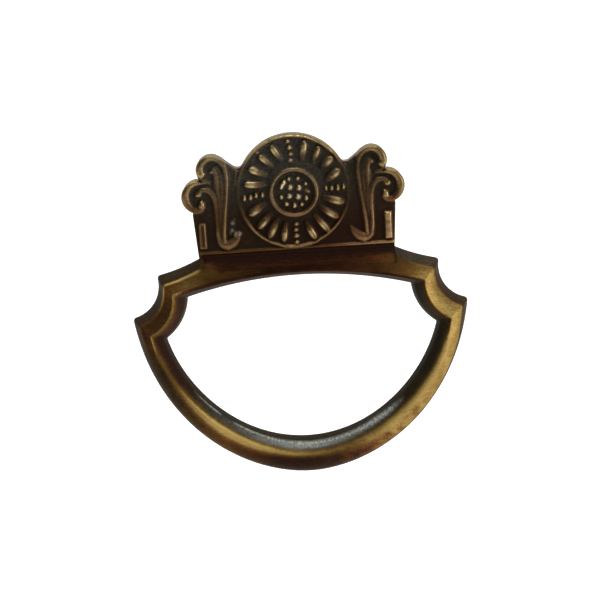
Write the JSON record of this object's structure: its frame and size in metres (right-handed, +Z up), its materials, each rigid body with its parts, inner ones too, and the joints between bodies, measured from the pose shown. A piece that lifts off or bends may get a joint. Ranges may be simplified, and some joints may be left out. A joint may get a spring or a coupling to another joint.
{
  "type": "fixed ring pull",
  "caption": "Fixed ring pull for a drawer or cabinet door: shield-shaped finger ring under an ornamental plate with a rosette and scrolls, screwed on from behind.",
  "frame": {"origin": "midway between the two screw holes, on the face of the drawer front", "axes": "+Z up the drawer front, +X to the right as seen from the front, -Y out of the drawer front towards the hand"},
  "size_m": [0.0712, 0.0203, 0.0737],
  "materials": {
    "antique_brass": "antique brass plate over zinc, dark in the recesses and brushed bright on the edges"
  },
  "bodies": {
    "root": {"ring_pull": "antique_brass"}
  },
  "joints": []
}
